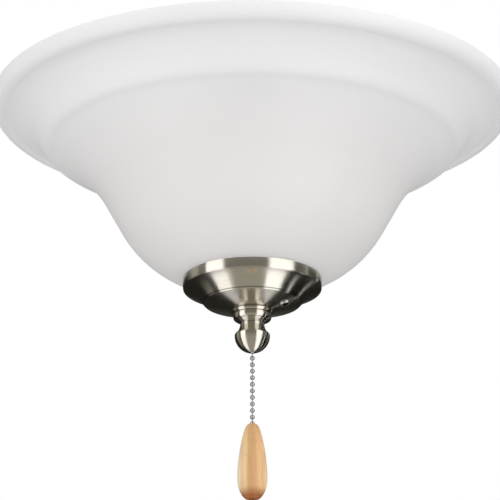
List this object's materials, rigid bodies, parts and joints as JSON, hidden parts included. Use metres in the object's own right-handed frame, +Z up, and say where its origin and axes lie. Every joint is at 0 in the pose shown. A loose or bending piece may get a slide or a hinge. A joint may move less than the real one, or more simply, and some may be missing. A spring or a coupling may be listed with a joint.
{
  "type": "ceiling fan light kit",
  "caption": "Stepped etched-glass bowl on a hollow rod under a round fitter pan with lamps inside, closed by a spun plate and finial, with a pull chain and wooden fob.",
  "frame": {"origin": "centre of the fitter pan's top face, where the threaded nipple stands out of it", "axes": "+Z up, out of the nipple towards the fan; -Y towards the picture's camera, +X to its right"},
  "size_m": [0.33, 0.33, 0.3155],
  "materials": {
    "etched_glass": "acid-etched white, satin",
    "brushed_nickel": "brushed nickel, turned grain",
    "bright_nickel": "polished nickel",
    "chain_nickel": "plated",
    "light_wood": "clear satin lacquer",
    "zinc_steel": "zinc plated",
    "white_enamel": "white reflector enamel",
    "porcelain": "glazed white porcelain",
    "shell_metal": "rolled brass",
    "brass": "plain",
    "base_metal": "rolled aluminium",
    "frosted_glass": "inside frosted",
    "white_rubber": "soft, matt",
    "black_rubber": "soft, matt",
    "black_phenolic": "moulded phenolic",
    "red_fibre": "vulcanised fibre",
    "spring_steel": "blued",
    "black_insulation": "soft",
    "white_insulation": "soft",
    "cap_plastic": "moulded"
  },
  "bodies": {
    "fitter": {"fitter_pan": "brushed_nickel", "top_nipple": "zinc_steel", "nipple_washer": "zinc_steel", "nipple_nut": "zinc_steel", "socket_plate": "white_enamel", "plate_screws": "brushed_nickel", "centre_rod": "zinc_steel", "rod_washer": "zinc_steel", "rod_upper_nut": "zinc_steel", "rod_lower_nut": "zinc_steel", "strap_screws": "zinc_steel", "lampholder_screws": "zinc_steel", "switch_case": "black_phenolic", "switch_cover": "black_phenolic", "switch_axle": "zinc_steel", "return_coil": "spring_steel", "contact_clips": "brass", "switch_bushing": "brass", "switch_nut": "brass", "switch_bridge": "zinc_steel", "bridge_screws": "zinc_steel", "hot_leads": "black_insulation", "neutral_leads": "white_insulation", "grommets": "black_rubber", "wire_caps": "cap_plastic", "inner_disc": "zinc_steel", "disc_nut": "zinc_steel", "lampholder_strap_1": "zinc_steel", "lampholder_1": "porcelain", "screw_shell_1": "shell_metal", "centre_contact_1": "brass", "bulb_base_1": "base_metal", "bulb_glass_1": "frosted_glass", "lampholder_strap_2": "zinc_steel", "lampholder_2": "porcelain", "screw_shell_2": "shell_metal", "centre_contact_2": "brass", "bulb_base_2": "base_metal", "bulb_glass_2": "frosted_glass", "lampholder_strap_3": "zinc_steel", "lampholder_3": "porcelain", "screw_shell_3": "shell_metal", "centre_contact_3": "brass", "bulb_base_3": "base_metal", "bulb_glass_3": "frosted_glass"},
    "bowl": {"glass_bowl": "etched_glass", "upper_gasket": "white_rubber", "rim_ring": "white_rubber", "bottom_plate": "brushed_nickel", "chain_outlet": "bright_nickel"},
    "finial": {"finial": "brushed_nickel"},
    "guided_chain": {"inner_chain": "chain_nickel"},
    "drum": {"switch_drum": "red_fibre"},
    "swivel": {"swivel_link": "chain_nickel"},
    "hanging_chain": {"outer_chain": "chain_nickel"},
    "fob": {"fob": "light_wood"}
  },
  "joints": [
    {"name": "bowl_lower", "type": "slide", "parent": "fitter", "child": "bowl", "axis": [0, 0, -1], "range_m": [0, 0.00899]},
    {"name": "finial_unscrew", "type": "hinge", "parent": "bowl", "child": "finial", "pos_m": [0, 0, -0.19], "axis": [0, 0, -1], "range_deg": [0, 3444]},
    {"name": "chain_pull", "type": "slide", "parent": "fitter", "child": "guided_chain", "axis": [0, 0, -1], "range_m": [0, 0.0086], "stiffness_N_per_m": 600, "springref_m": -0.004},
    {"name": "drum_turn", "type": "hinge", "parent": "fitter", "child": "drum", "pos_m": [-0.0055, 0, -0.017], "axis": [0, 1, 0], "range_deg": [0, 90]},
    {"name": "chain_swing_side", "type": "hinge", "parent": "swivel", "child": "hanging_chain", "pos_m": [0, 0, -0.22809], "axis": [0, 1, 0], "range_deg": [-40, 40]},
    {"name": "chain_swing_front", "type": "hinge", "parent": "guided_chain", "child": "swivel", "pos_m": [0, 0, -0.22386], "axis": [1, 0, 0], "range_deg": [-40, 40]},
    {"name": "fob_spin", "type": "hinge", "parent": "hanging_chain", "child": "fob", "pos_m": [0, 0, -0.25772], "axis": [0, 0, 1], "continuous": true}
  ],
  "couplings": [
    {"joint": "finial_unscrew", "follows": "bowl_lower", "rad_per_m": 6679},
    {"joint": "drum_turn", "follows": "chain_pull", "rad_per_m": 181.82}
  ]
}
